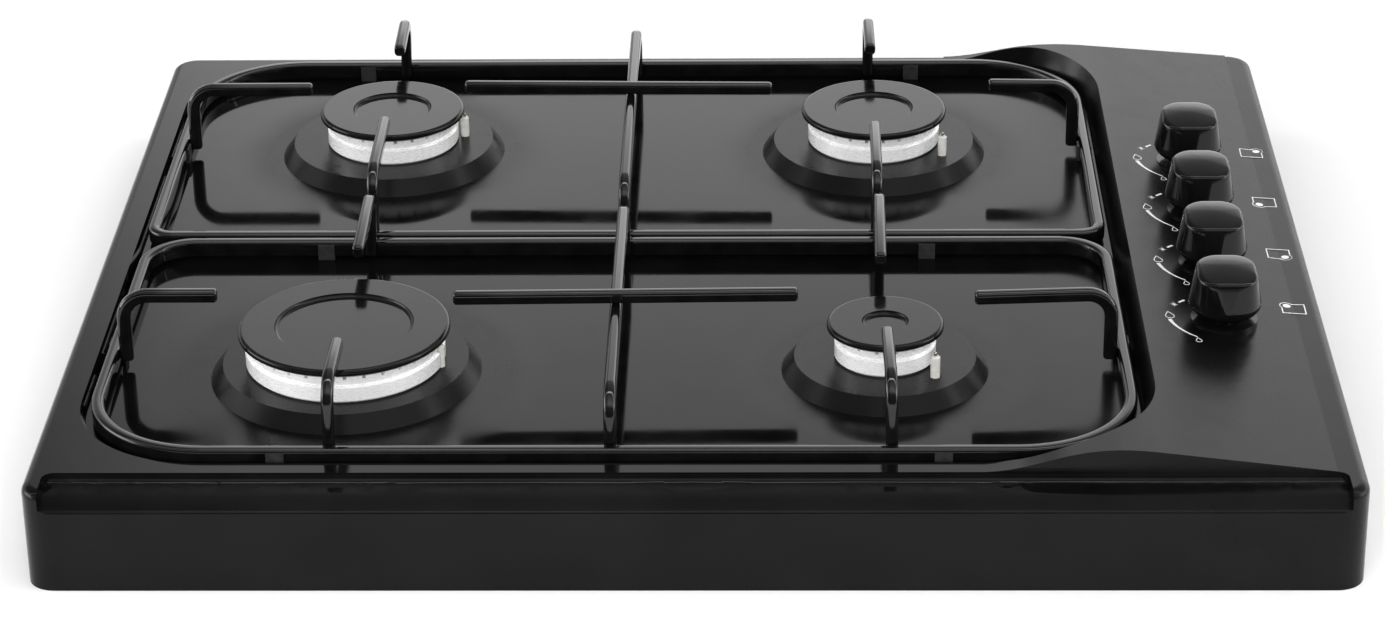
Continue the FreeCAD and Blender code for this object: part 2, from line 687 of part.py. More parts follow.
def spindle(y):
    """Tap spindle with the tongue that turns the plug."""
    tongue_half = PLUG_SLOT_W / 2 - RUNNING_GAP
    tongue = box((KNOB_X - 3.5, KNOB_X + 3.5), (y - tongue_half, y + tongue_half),
                 (TONGUE_Z, SPINDLE_FOOT_Z + 1))
    collar = rod(KNOB_X, y, (SPINDLE_FOOT_Z, SPINDLE_FOOT_Z + 1.2), TAP_CHAMBER_R - 1)
    return solid_of(spindle_bar(y, SPINDLE_FOOT_Z).fuse([tongue, collar]))


def tap_plug(y):
    """Tapered plug with a slot for the spindle and a gas port."""
    plug = Part.makeCone(PLUG_R[0] - RUNNING_GAP, PLUG_R[1] - RUNNING_GAP,
                         PLUG_Z[1] - PLUG_Z[0], V(KNOB_X, y, PLUG_Z[0]))
    slot = box((KNOB_X - 10, KNOB_X + 10), (y - PLUG_SLOT_W / 2, y + PLUG_SLOT_W / 2),
               (PLUG_SLOT_Z, PLUG_Z[1] + 1))
    port = Part.makeCylinder(1.6, 20, V(KNOB_X, y, GAS_Z - 3), V(1, 0, 0))
    return solid_of(plug.cut([slot, port]))


def tap_body(y):
    """Gas tap: block with a tapered bore, a neck, and a boss each side for gas."""
    block = box(TAP_X, (y - TAP_HALF_Y, y + TAP_HALF_Y), TAP_Z)
    block = block.makeFillet(3.0, upright_edges(block))
    neck = rod(KNOB_X, y, (TAP_Z[1], TAP_NECK_Z), TAP_NECK_R)
    outlet = Part.makeCylinder(NUT_R - 1.5, TAP_X[0] - PIPE_START_X,
                               V(PIPE_START_X, y, GAS_Z), V(1, 0, 0))
    body = block.fuse([neck, outlet])
    bore = Part.makeCone(PLUG_R[0], PLUG_R[1], PLUG_Z[1] - PLUG_Z[0], V(KNOB_X, y, PLUG_Z[0]))
    chamber = rod(KNOB_X, y, (PLUG_Z[1], TAP_NECK_Z - 3.5), TAP_CHAMBER_R)
    stem = rod(KNOB_X, y, (TAP_NECK_Z - 4, TAP_NECK_Z + 1), SPINDLE_R + RUNNING_GAP)
    return solid_of(body.cut([bore, chamber, stem]))


def ignition_switch(y):
    """Micro switch that stands on a tap beside its neck."""
    x0 = KNOB_X - TAP_NECK_R - SWITCH_SIZE[0] + 2
    body = box((x0 - 2, x0 + SWITCH_SIZE[0] - 2), (y - SWITCH_SIZE[1] / 2, y + SWITCH_SIZE[1] / 2),
               (TAP_Z[1], TAP_Z[1] + SWITCH_SIZE[2]))
    return body.makeFillet(0.8, upright_edges(body))


# ---- gas pipes ----

def gas_rail():
    """Rail tube along the taps, with a saddle under each."""
    length = GAS_RAIL_Y[1] - GAS_RAIL_Y[0]
    tube = Part.makeCylinder(GAS_RAIL_R, length, V(RAIL_X, GAS_RAIL_Y[0], GAS_Z), V(0, 1, 0))
    bore = Part.makeCylinder(GAS_RAIL_R - 1.5, length - 3,
                             V(RAIL_X, GAS_RAIL_Y[0] + 3, GAS_Z), V(0, 1, 0))
    return solid_of(tube.cut(bore))


def inlet_elbow():
    """Connector at the rail's end: hexagon, collar and the threaded stub for the supply."""
    y = GAS_RAIL_Y[1]
    end = DEPTH / 2 - 0.5
    forward = V(0, 1, 0)
    collar_end = end - INLET_THREAD_L
    collar = Part.makeCylinder(GAS_RAIL_R + 3, 10, V(RAIL_X, y - 6, GAS_Z), forward)
    corners = []
    for k in range(7):
        angle = math.radians(60 * k)
        corners.append(V(RAIL_X + 12.5 * math.cos(angle), y + 4, GAS_Z + 12.5 * math.sin(angle)))
    nut = Part.Face(Part.makePolygon(corners)).extrude(forward * (collar_end - y - 4))
    stub = Part.makeCylinder(INLET_THREAD_R, INLET_THREAD_L, V(RAIL_X, collar_end, GAS_Z), forward)
    joined = collar.fuse([nut, stub])
    socket = Part.makeCylinder(GAS_RAIL_R, 6, V(RAIL_X, y - 6, GAS_Z), forward)
    bore = Part.makeCylinder(INLET_BORE_R, end - y + 2, V(RAIL_X, y - 1, GAS_Z), forward)
    return solid_of(joined.cut([socket, bore]))


def pipe_routes():
    """The four burner pipes, rear knob first: the burner's name and the corner points."""
    back_right = BURNERS["back_right"]
    back_left = BURNERS["back_left"]
    front_right = BURNERS["front_right"]
    front_left = BURNERS["front_left"]
    start_1, start_2, start_3, start_4 = [V(PIPE_START_X, y, GAS_Z) for y in KNOB_Y]
    low_y = KNOB_Y[3] + 15
    return (
        ("back_right", [start_1, V(172, start_1.y, GAS_Z), V(140, back_right["y"], GAS_Z),
                        V(back_right["x"], back_right["y"], GAS_Z)]),
        ("front_left", [start_2, V(-20, start_2.y, GAS_Z), V(-70, front_left["y"], GAS_Z),
                        V(front_left["x"], front_left["y"], GAS_Z)]),
        ("front_right", [start_3, V(front_right["x"], start_3.y, GAS_Z),
                         V(front_right["x"], front_right["y"], GAS_Z)]),
        ("back_left", [start_4, V(198, start_4.y, GAS_Z), V(160, low_y, LOW_GAS_Z),
                       V(10, low_y, LOW_GAS_Z), V(-80, back_left["y"] - 30, LOW_GAS_Z),
                       V(-102, back_left["y"], GAS_Z), V(back_left["x"], back_left["y"], GAS_Z)]),
    )


def burner_pipe(burner, points):
    """Bent pipe with a nut at each end; it stops at the wall of its burner cup."""
    wall = burner["crown"] * NECK_SHARE
    last = (points[-1] - points[-2]).normalize()
    end = points[-1] - last * (wall - 3)
    path = bent_path(points[:-1] + [end], PIPE_BEND_R)
    start = points[0]
    aim = (points[1] - start).normalize()
    section = Part.Wire([Part.makeCircle(PIPE_R, start, aim)])
    tube = path.makePipeShell([section], True, False)
    start_nut = Part.makeCylinder(NUT_R, NUT_L, start, aim)
    end_nut = Part.makeCylinder(NUT_R, NUT_L + 3, end - last * NUT_L, last)
    cup = rod(burner["x"], burner["y"], (0, 50), wall)
    return solid_of(tube.fuse([start_nut, end_nut]).cut(cup))


# ---- bottom and electrical parts ----

def bracket_places():
    """Where the tray brackets stand: a point on the apron's inner face and the way inward."""
    inner_x = WIDTH / 2 - SHEET
    inner_y = DEPTH / 2 - SHEET
    places = [(V(x, -inner_y, 0), V(0, 1, 0)) for x in BRACKETS_FRONT_X]
    places += [(V(x, inner_y, 0), V(0, -1, 0)) for x in BRACKETS_BACK_X]
    places += [(V(-inner_x, y, 0), V(1, 0, 0)) for y in BRACKETS_SIDE_Y]
    places += [(V(inner_x, y, 0), V(-1, 0, 0)) for y in BRACKETS_SIDE_Y]
    return places


def screw_places():
    """Axes of the screws that hold the bottom to the brackets."""
    return [place + inward * BRACKET_SCREW for place, inward in bracket_places()]


def tray_brackets():
    """Angle brackets welded inside the apron, over the bottom's edge."""
    foot = PAN_Z + PAN_SHEET
    profile = outline(
        lambda y, z: V(-BRACKET_W / 2, y, z),
        (0, foot), (BRACKET_L, foot), (BRACKET_L, foot + BRACKET_T),
        (BRACKET_T, foot + BRACKET_T), (BRACKET_T, foot + BRACKET_H), (0, foot + BRACKET_H))
    angle = Part.Face(profile).extrude(V(BRACKET_W, 0, 0))
    angle = angle.cut(rod(0, BRACKET_SCREW, (0, 20), SCREW_R + RUNNING_GAP))
    brackets = []
    for place, inward in bracket_places():
        bracket = angle.copy()
        bracket.rotate(V(0, 0, 0), UP, math.degrees(math.atan2(-inward.x, inward.y)))
        bracket.translate(place)
        brackets.append(bracket)
    return Part.makeCompound(brackets)


def base_screws():
    """Pan-head screws from below, through the bottom and the brackets."""
    screws = []
    for place in screw_places():
        screws.append(turned(
            place.x, place.y, (0, PAN_Z - SCREW_HEAD), (SCREW_HEAD_R - 0.8, PAN_Z - SCREW_HEAD),
            (SCREW_HEAD_R, PAN_Z - SCREW_HEAD + 0.8), (SCREW_HEAD_R, PAN_Z), (SCREW_R, PAN_Z),
            (SCREW_R, PAN_Z + SCREW_L - 1), (SCREW_R - 0.8, PAN_Z + SCREW_L), (0, PAN_Z + SCREW_L)))
    return Part.makeCompound(screws)


def pan_form(inset):
    """The bottom as a full block: its edge, and a raised field with sloping sides."""
    half_x = WIDTH / 2 - SHEET - PAN_GAP - inset
    half_y = DEPTH / 2 - SHEET - PAN_GAP - inset
    corner = CORNER_R - SHEET - PAN_GAP - inset
    top = PAN_Z + PAN_SHEET - inset
    edge = slab(rounded_rectangle((-half_x, half_x), (-half_y, half_y), [corner] * 4, PAN_RIM_Z),
                top - PAN_RIM_Z)
    wires = []
    for rise in (0.0, PAN_FIELD_RISE):
        grow = -rise - inset
        x = PAN_FIELD[0] + grow
        y = PAN_FIELD[1] + grow
        wires.append(rounded_rectangle((-x, x), (-y, y), [PAN_FIELD_R + grow] * 4, top + rise))
    return edge.fuse(Part.makeLoft(wires, True, True))


def base_pan():
    """Steel bottom with a turned-down edge, a raised field, vents, and screw and clamp holes."""
    pan = pan_form(0).cut(pan_form(PAN_SHEET))
    holes = [rod(place.x, place.y, (0, 20), SCREW_R + RUNNING_GAP) for place in screw_places()]
    for x in (-CLAMP_SPACING[0] / 2, CLAMP_SPACING[0] / 2):
        for y in (-CLAMP_SPACING[1] / 2, CLAMP_SPACING[1] / 2):
            holes.append(rod(x, y, (0, 20), CLAMP_HOLE_R))
    for x in VENT_X:
        for y in VENT_Y:
            slot = rounded_rectangle((x, x + VENT[0]), (y, y + VENT[1]), [VENT[0] / 2 - 0.01] * 4, 0)
            holes.append(slab(slot, 20))
    return solid_of(pan.cut(holes))


def spark_generator():
    """Ignition box on the raised field, with a post for each lead."""
    floor = PAN_Z + PAN_SHEET + PAN_FIELD_RISE
    top = floor + SPARK_BOX_H
    case = box(SPARK_BOX_X, SPARK_BOX_Y, (floor, top))
    case = case.makeFillet(3.0, upright_edges(case))
    case = case.makeFillet(1.0, level_edges(case, top))
    posts = []
    for k in range(len(BURNERS)):
        x = SPARK_BOX_X[0] + 11 + k * 13
        posts.append(rod(x, SPARK_BOX_Y[1] - 10, (top, top + SPARK_POST_H), SPARK_POST_R))
    return solid_of(case.fuse(posts))


def terminal_block():
    """Three-way terminal block with a clamp screw well over each way."""
    floor = PAN_Z + PAN_SHEET
    block = box(BLOCK_X, BLOCK_Y, (floor, floor + BLOCK_H))
    block = block.makeFillet(1.5, upright_edges(block))
    pitch = (BLOCK_X[1] - BLOCK_X[0]) / 3
    cuts = []
    for k in range(3):
        x = BLOCK_X[0] + pitch * (k + 0.5)
        for y in (BLOCK_Y[0] + 5, BLOCK_Y[1] - 5):
            cuts.append(rod(x, y, (floor + BLOCK_H - 6, floor + BLOCK_H + 1), BLOCK_SCREW_R))
        cuts.append(Part.makeCylinder(2, 40, V(x, BLOCK_Y[0] - 5, floor + 6), V(0, 1, 0)))
    return solid_of(block.cut(cuts))


def cable_gland():
    """Bush in the rear apron with its nut inside; its mouth is flush with the apron."""
    back = V(0, 1, 0)
    inner = DEPTH / 2 - SHEET
    bush = Part.makeCylinder(GLAND_R - RUNNING_GAP, GLAND_IN + SHEET - 0.2,
                             V(GLAND_X, inner - GLAND_IN, GLAND_Z), back)
    nut = Part.makeCylinder(GLAND_NUT_R, GLAND_NUT, V(GLAND_X, inner - GLAND_NUT, GLAND_Z), back)
    bore = Part.makeCylinder(GLAND_BORE_R, 40, V(GLAND_X, inner - 30, GLAND_Z), back)
    return solid_of(bush.fuse(nut).cut(bore))


def main():
    os.makedirs("parts", exist_ok=True)
    nodes = {}
    nodes["top_tray"] = top_tray()
    for name, burner in BURNERS.items():
        nodes["burner_cup_" + name] = burner_cup(burner)
        nodes["burner_crown_" + name] = burner_crown(burner)
        nodes["burner_cap_" + name] = burner_cap(burner)
    burners = list(BURNERS.values())
    nodes["injectors"] = Part.makeCompound([injector(b) for b in burners])
    nodes["electrode_insulators"] = Part.makeCompound([electrode_insulator(b) for b in burners])
    nodes["electrode_tips"] = Part.makeCompound([electrode_tip(b) for b in burners])
    for side in ("back", "front"):
        frame = grate_frame(side)
        nodes["grate_%s_frame" % side] = frame
        nodes["grate_%s_fingers" % side] = grate_fingers(side)
        nodes["grate_%s_bridge" % side] = grate_bridge(side)
        nodes["grate_%s_cross_bar" % side] = grate_cross_bar(side)
        nodes["grate_%s_feet" % side] = grate_feet(side, frame)
    for number, y in enumerate(KNOB_Y, 1):
        nodes["knob_%d" % number] = knob(y)
        nodes["spindle_%d" % number] = spindle(y)
        nodes["tap_plug_%d" % number] = tap_plug(y)
        nodes["tap_body_%d" % number] = tap_body(y)
    nodes["knob_bezels"] = Part.makeCompound([knob_bezel(y) for y in KNOB_Y])
    nodes["ignition_switches"] = Part.makeCompound([ignition_switch(y) for y in KNOB_Y])
    nodes["gas_rail"] = gas_rail()
    nodes["inlet_elbow"] = inlet_elbow()
    for number, (name, route) in enumerate(pipe_routes(), 1):
        nodes["burner_pipe_%d" % number] = burner_pipe(BURNERS[name], route)
    nodes["tray_brackets"] = tray_brackets()
    nodes["base_screws"] = base_screws()
    nodes["base_pan"] = base_pan()
    nodes["spark_generator"] = spark_generator()
    nodes["terminal_block"] = terminal_block()
    nodes["cable_gland"] = cable_gland()
    for name, shape in nodes.items():
        assert shape.isValid(), name
        shape.exportStep("parts/%s.step" % name)
        print(name, len(shape.Solids), round(shape.Volume / 1000, 2))


main()
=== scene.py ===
import json
import math
import bmesh
import bpy
from mathutils import Matrix, Vector


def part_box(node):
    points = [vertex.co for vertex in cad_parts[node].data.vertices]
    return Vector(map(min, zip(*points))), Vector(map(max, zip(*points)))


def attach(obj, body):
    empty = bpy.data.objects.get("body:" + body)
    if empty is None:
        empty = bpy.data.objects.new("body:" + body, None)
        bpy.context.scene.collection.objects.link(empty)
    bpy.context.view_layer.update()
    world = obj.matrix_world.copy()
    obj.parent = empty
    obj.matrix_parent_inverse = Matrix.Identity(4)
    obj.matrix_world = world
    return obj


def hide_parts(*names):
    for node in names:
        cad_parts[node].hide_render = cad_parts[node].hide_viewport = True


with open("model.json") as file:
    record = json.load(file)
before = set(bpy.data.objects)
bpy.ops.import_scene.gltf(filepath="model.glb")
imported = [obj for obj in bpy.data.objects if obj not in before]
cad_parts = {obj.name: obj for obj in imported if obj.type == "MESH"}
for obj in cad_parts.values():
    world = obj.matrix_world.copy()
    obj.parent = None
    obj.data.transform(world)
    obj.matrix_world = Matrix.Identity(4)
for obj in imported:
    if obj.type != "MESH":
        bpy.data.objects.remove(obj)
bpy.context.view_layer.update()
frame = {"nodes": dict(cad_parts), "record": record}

MM = 0.001
# Edges that turn more than this stay crisp
SHARP_ANGLE = math.radians(32)
nodes = frame["nodes"]

# Camera, fitted to the photograph's corners
IMAGE_WIDTH = 1385
FOCAL_PIXELS = 3842.1
SENSOR_MM = 36.0
CAMERA_PLACE = Vector((0.03937, -1.71157, 0.85327))
CAMERA_PITCH = math.radians(26.2004)
CAMERA_YAW = math.radians(-1.4966)
CAMERA_ROLL = math.radians(-0.7759)
CAMERA_CLIP = (0.05, 50.0)

# Panel face under the dials: a point on it, its fall to the right, and the deck that it meets,
# in millimetres
PANEL_X = 203.0
PANEL_Z = 58.0
PANEL_FALL = 0.122
DECK_Z = 48.3

# Where the tray's enamel is less smooth: round the burners, and from this X on the panel
BURNERS = ("back_left", "back_right", "front_left", "front_right")
PLATEAU_REACH = 52.0
PLATEAU_FADE = 20.0
WELL_Z = 46.0
PANEL_ROUGH_X = (150.0, 215.0)
PRESSED_ROUGHNESS = 0.2

# Printed marks, in millimetres about each knob
PRINT_LIFT = 0.02
PRINT_THICK = 0.05
DIAL_R = 25.6
# Arcs: first and last radius, first and last degrees, first and last width, steps
TICK_ARC = (DIAL_R - 0.7, DIAL_R - 0.7, 132.9, 143.0, 1.1, 1.1, 6)
TAPER_ARC = (DIAL_R + 0.7, DIAL_R - 0.8, 189.0, 235.0, 1.9, 0.5, 24)
# Star and flames: centre, width, height and, for a flame, the width of its line
STAR = ((-22.4, 12.4), 4.0, 6.4)
FULL_FLAME = ((-25.9, 0.6), 3.9, 6.6, 0.4)
LOW_FLAME = ((-14.3, -23.2), 2.5, 4.2, 0.35)
# Star: reach of its long rays, its short rays and the notches between them
STAR_REACH = (1.0, 0.7, 0.2)
# Flame: its fullness, how soon it draws in, its lean half way up and at the tip
FLAME_FULL = 1.5
FLAME_DRAWN_IN = 0.7
FLAME_LEAN = 0.3
FLAME_TIP_LEAN = 0.2
# Plan of the hob: centre, half size, dot in from its corner, radii of the dot and of the
# bulge round it, width of its line and how far each line runs past its ends
HOB_MARK = (35.2, 21.0)
HOB_HALF = (5.5, 5.0)
HOB_DOT = (2.6, 2.0)
HOB_DOT_R = 1.9
HOB_BULGE_R = 3.3
HOB_LINE = 0.55
HOB_LINE_END = 0.27
# Corner of each knob's burner on the plan, from knob 1
HOB_CORNERS = ((1, 1), (-1, -1), (1, -1), (-1, 1))

# Grate bars and rails, in millimetres. Corner radii go round from the front left
GRATE_X = {"back": (-276.5, 199.2), "front": (-275.5, 200.2)}
GRATE_Y = {"back": (9.4, 235.3), "front": (-216.8, 6.7)}
GRATE_CORNERS = {"back": (13.0, 13.0, 57.0, 57.0), "front": (57.0, 57.0, 26.0, 26.0)}
# Sections: width, height and edge radius
RAIL = (5.8, 8.8, 1.9)
BAR = (5.6, 6.4, 2.1)
RAIL_Z = 48.1
BAR_END_R = 1.7
BAR_LEAST_R = 0.3
BAR_BEND = 11.5
BAR_TOP_Z = 83.0
LEG_Z = 46.5
# Fingers from the long rails: from the rear rail?, x of foot, x of bend, x and y of tip
LONG_FINGERS = {
    "back": ((False, -163.7, -163.4, -163.2, 87.2), (True, -165.5, -164.6, -164.1, 180.9),
             (False, 85.9, 86.1, 86.2, 79.4), (True, 85.9, 85.7, 86.1, 180.6)),
    "front": ((False, -162.3, -162.0, -161.5, -164.9), (True, -163.2, -162.0, -161.6, -69.9),
              (False, 87.8, 87.4, 86.6, -154.8), (True, 86.6, 86.6, 85.5, -79.0)),
}
# Fingers from the side rails: from the right rail?, y of leg, x and y of tip
SIDE_FINGERS = {
    "back": ((False, 129.5, -204.7, 129.5), (True, 130.5, 146.4, 132.0)),
    "front": ((False, -116.0, -222.3, -116.0), (True, -116.0, 127.8, -120.0)),
}
# Bridges: x of the near foot, near bend and far leg. Cross bars: left and right ends
BRIDGES = {"back": (-39.2, -38.7, -39.4), "front": (-37.2, -37.2, -38.1)}
CROSS_BARS = {"back": ((-125.4, 132.1), (34.1, 128.7)), "front": ((-112.7, -119.0), (46.5, -116.0))}
# Rubber feet: half width, reach outside and inside the rail, heights, and places on the long rails
FOOT_HALF = 4.0
FOOT_PROUD = 0.5
FOOT_INSIDE = 1.0
FOOT_Z = (42.8, 50.6)
FOOT_SPREAD = 148.0

# Knob: (height, radius) of its round foot and the flat left on each side of it, then its
# rounded square from widest to top as height, half width and corner radius
KNOB_FOOT = ((58.0, 13.2), (58.3, 13.9), (59.4, 15.2), (61.0, 16.4), (62.3, 17.0))
KNOB_FOOT_FLAT = 0.1
KNOB_WIDE = (62.9, 17.1, 17.0)
KNOB_TOP = (81.6, 13.3, 8.0)
KNOB_EDGE_R = 1.5
KNOB_DOME_R = 60.0
KNOB_DOME_BACK = 6.0
# Rings up the knob's wall and in over its dome, as shares of the way
KNOB_WALL_RINGS = (0.0, 0.08, 0.3, 0.6, 0.85, 1.0)
KNOB_DOME_RINGS = (0.85, 0.65, 0.45, 0.25, 0.1)

# Studio. The sky's grey level over the top, from the back horizon (0) to the front (180)
SKY_ARCH = ((0, 2.0), (21, 2.15), (29, 1.4), (38, 0.6), (60, 0.5), (85, 0.35), (90, 9.0),
            (95, 0.35), (112, 0.8), (132, 1.5), (150, 0.12), (180, 0.03))
# Share of it from the left (0) to the right (1): the back light ends at the left
SKY_SPAN = ((0.0, 0.4), (0.395, 0.42), (0.435, 1.0), (1.0, 1.0))
# Added grey level from the left (0) to the right (1)
SKY_SIDES = ((0.0, 5.5), (0.02, 5.0), (0.05, 0.8), (0.12, 0.0), (0.9, 0.0), (0.97, 0.8),
             (0.985, 3.5), (1.0, 4.0))
# Lamp: name, place and size in metres, power in watts
LAMP = ("front", (-0.4, -3.0, 1.1), (2.4, 1.2), 100.0)
# Floor: half size, greys near and far, and the distances in metres where it starts and ends falling;
# the fall to the far grey is painted shade, which darkens the floor that the object reflects
FLOOR_HALF = 14.0
FLOOR_WHITE = 0.97
FLOOR_PAINTED_SHADE_GREY = 0.2
FLOOR_PAINTED_SHADE_START = 0.8
FLOOR_PAINTED_SHADE_FULL = 1.7


# ---- material helpers ----

def math_node(tree, operation, *values):
    """One maths node; a value is a socket or a number."""
    made = tree.nodes.new("ShaderNodeMath")
    made.operation = operation
    for socket, value in zip(made.inputs, values):
        if isinstance(value, (int, float)):
            socket.default_value = value
        else:
            tree.links.new(value, socket)
    return made.outputs["Value"]


class Shader:
    """A node material with one Principled shader, and short calls for its usual nodes."""

    def __init__(self, name, color, roughness, metallic=0.0):
        self.material = bpy.data.materials.new(name)
        self.material.use_nodes = True
        self.tree = self.material.node_tree
        self.shader = self.tree.nodes["Principled BSDF"]
        self.shader.inputs["Base Color"].default_value = (*color, 1.0)
        self.shader.inputs["Roughness"].default_value = roughness
        self.shader.inputs["Metallic"].default_value = metallic
        self.place = self.node("ShaderNodeTexCoord").outputs["Object"]
        self.last_normal = None

    def node(self, kind, **values):
        made = self.tree.nodes.new(kind)
        for name, value in values.items():
            setattr(made, name, value)
        return made

    def link(self, a, b):
        self.tree.links.new(a, b)

    def stretched(self, scale):
        """Object coordinates scaled unevenly."""
        mapping = self.node("ShaderNodeMapping")
        mapping.inputs["Scale"].default_value = scale
        self.link(self.place, mapping.inputs["Vector"])
        return mapping.outputs["Vector"]

    def noise(self, scale, detail, stretch=None):
        """Noise over the object, from 0 to 1."""
        noise = self.node("ShaderNodeTexNoise")
        noise.inputs["Scale"].default_value = scale
        noise.inputs["Detail"].default_value = detail
        source = self.place if stretch is None else self.stretched(stretch)
        self.link(source, noise.inputs["Vector"])
        return noise.outputs["Fac"]

    def spread(self, value, low, high, from_low=0.3, from_high=0.7):
        """A value brought to a range of its own."""
        fit = self.node("ShaderNodeMapRange")
        fit.inputs["From Min"].default_value = from_low
        fit.inputs["From Max"].default_value = from_high
        fit.inputs["To Min"].default_value = low
        fit.inputs["To Max"].default_value = high
        self.link(value, fit.inputs["Value"])
        return fit.outputs["Result"]

    def vary_roughness(self, value, low, high):
        """Roughness that runs from low to high with a value."""
        self.link(self.spread(value, low, high), self.shader.inputs["Roughness"])

    def vary_color(self, value, first, second, from_low=0.3, from_high=0.7):
        """Base colour that runs from the first to the second with a value."""
        mix = self.node("ShaderNodeMix", data_type="RGBA")
        self.link(self.spread(value, 0.0, 1.0, from_low, from_high), mix.inputs["Factor"])
        mix.inputs["A"].default_value = (*first, 1.0)
        mix.inputs["B"].default_value = (*second, 1.0)
        self.link(mix.outputs["Result"], self.shader.inputs["Base Color"])

    def bump(self, value, height_mm):
        """Relief of that height, on top of any earlier bump."""
        bump = self.node("ShaderNodeBump")
        bump.inputs["Strength"].default_value = 1.0
        bump.inputs["Distance"].default_value = height_mm * MM
        self.link(value, bump.inputs["Height"])
        if self.last_normal is not None:
            self.link(self.last_normal, bump.inputs["Normal"])
        self.last_normal = bump.outputs["Normal"]
        self.link(self.last_normal, self.shader.inputs["Normal"])

    def near(self, centre, inner, outer):
        """1 within the inner distance of a point, falling to 0 at the outer one."""
        apart = self.node("ShaderNodeVectorMath", operation="DISTANCE")
        self.link(self.place, apart.inputs[0])
        apart.inputs[1].default_value = centre
        return self.spread(apart.outputs["Value"], 1.0, 0.0, inner, outer)

    def set(self, name, value):
        self.shader.inputs[name].default_value = value


def grey(value):
    return (value, value, value)


# ---- materials ----

def tray_enamel():
    """Glossy black vitreous enamel; the pressed plateaus and the panel are less smooth."""
    s = Shader("tray_enamel", grey(0.003), 0.06)
    s.set("Specular IOR Level", 0.16)
    s.vary_color(s.noise(35.0, 5.0), (0.002, 0.002, 0.0022), (0.004, 0.004, 0.0042))
    split = s.node("ShaderNodeSeparateXYZ")
    s.link(s.place, split.inputs["Vector"])
    rough = s.spread(split.outputs["X"], 0.0, 1.0, PANEL_ROUGH_X[0] * MM, PANEL_ROUGH_X[1] * MM)
    for name in BURNERS:
        low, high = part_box("burner_crown_" + name)
        reach = (high[0] - low[0]) / 2 + PLATEAU_REACH * MM
        centre = ((low[0] + high[0]) / 2, (low[1] + high[1]) / 2, WELL_Z * MM)
        rough = math_node(s.tree, "MAXIMUM", rough, s.near(centre, reach - PLATEAU_FADE * MM, reach))
    fine = s.spread(s.noise(60.0, 4.0), 0.05, 0.09)
    both = math_node(s.tree, "MULTIPLY_ADD", rough, PRESSED_ROUGHNESS, fine)
    s.link(both, s.shader.inputs["Roughness"])
    s.bump(s.noise(55.0, 2.0), height_mm=0.006)
    s.bump(s.noise(900.0, 2.0), height_mm=0.0006)
    return s.material


def bar_enamel():
    """Thicker, wavier black enamel on the wire grates."""
    s = Shader("bar_enamel", grey(0.003), 0.06)
    s.set("Specular IOR Level", 0.5)
    s.vary_color(s.noise(90.0, 4.0), grey(0.002), grey(0.005))
    s.vary_roughness(s.noise(140.0, 4.0), 0.04, 0.08)
    s.bump(s.noise(110.0, 2.0), height_mm=0.012)
    return s.material


def cap_enamel():
    """Satin-gloss enamel on the burner caps."""
    s = Shader("cap_enamel", grey(0.004), 0.1)
    s.set("Specular IOR Level", 0.22)
    s.vary_color(s.noise(200.0, 5.0), grey(0.003), grey(0.006))
    s.vary_roughness(s.noise(260.0, 4.0), 0.07, 0.13)
    s.bump(s.noise(700.0, 3.0), height_mm=0.0012)
    return s.material


def cast_aluminium(name, low, high, roughness, metallic):
    """Turned or die-cast aluminium with fine marks round it."""
    s = Shader(name, grey(high), roughness, metallic)
    s.vary_color(s.noise(160.0, 5.0), grey(low), grey(high))
    s.vary_roughness(s.noise(400.0, 3.0, (1.0, 1.0, 14.0)), roughness - 0.06, roughness + 0.08)
    s.bump(s.noise(300.0, 3.0, (1.0, 1.0, 18.0)), height_mm=0.006)
    return s.material


def moulded_plastic(name, base, roughness, specular=0.5):
    """Black moulded plastic with a fine spark-eroded grain."""
    s = Shader(name, grey(base), roughness)
    s.set("Specular IOR Level", specular)
    s.vary_color(s.noise(120.0, 4.0), grey(base * 0.8), grey(base * 1.3))
    s.vary_roughness(s.noise(500.0, 3.0), roughness - 0.02, roughness + 0.03)
    s.bump(s.noise(1800.0, 2.0), height_mm=0.0012)
    return s.material


def sheet_steel(name, base, roughness):
    """Zinc-coated sheet with faint spangle."""
    s = Shader(name, grey(base), roughness, metallic=0.9)
    spangle = s.node("ShaderNodeTexVoronoi")
    spangle.inputs["Scale"].default_value = 160.0
    s.link(s.place, spangle.inputs["Vector"])
    s.vary_color(spangle.outputs["Distance"], grey(base * 0.85), grey(base * 1.1), 0.0, 0.8)
    s.vary_roughness(s.noise(90.0, 4.0), roughness - 0.08, roughness + 0.1)
    s.bump(s.noise(400.0, 3.0), height_mm=0.003)
    return s.material


def machined_brass():
    """Brass with fine lathe marks."""
    s = Shader("machined_brass", (0.72, 0.50, 0.20), 0.28, metallic=1.0)
    s.vary_color(s.noise(120.0, 4.0), (0.66, 0.45, 0.17), (0.78, 0.56, 0.25))
    s.vary_roughness(s.noise(700.0, 3.0, (1.0, 1.0, 12.0)), 0.2, 0.36)
    s.bump(s.noise(600.0, 2.0, (1.0, 1.0, 16.0)), height_mm=0.004)
    return s.material


def black_rubber():
    """Matt rubber of the grate feet."""
    s = Shader("black_rubber", grey(0.02), 0.6)
    s.vary_color(s.noise(300.0, 4.0), grey(0.014), grey(0.03))
    s.vary_roughness(s.noise(500.0, 3.0), 0.5, 0.7)
    s.bump(s.noise(1500.0, 3.0), height_mm=0.004)
    return s.material


def white_ceramic():
    """Glazed ceramic of the spark electrodes."""
    s = Shader("white_ceramic", (0.6, 0.59, 0.56), 0.15)
    s.vary_color(s.noise(400.0, 4.0), (0.52, 0.5, 0.46), (0.66, 0.65, 0.62))
    s.vary_roughness(s.noise(600.0, 3.0), 0.1, 0.22)
    s.bump(s.noise(900.0, 2.0), height_mm=0.002)
    return s.material


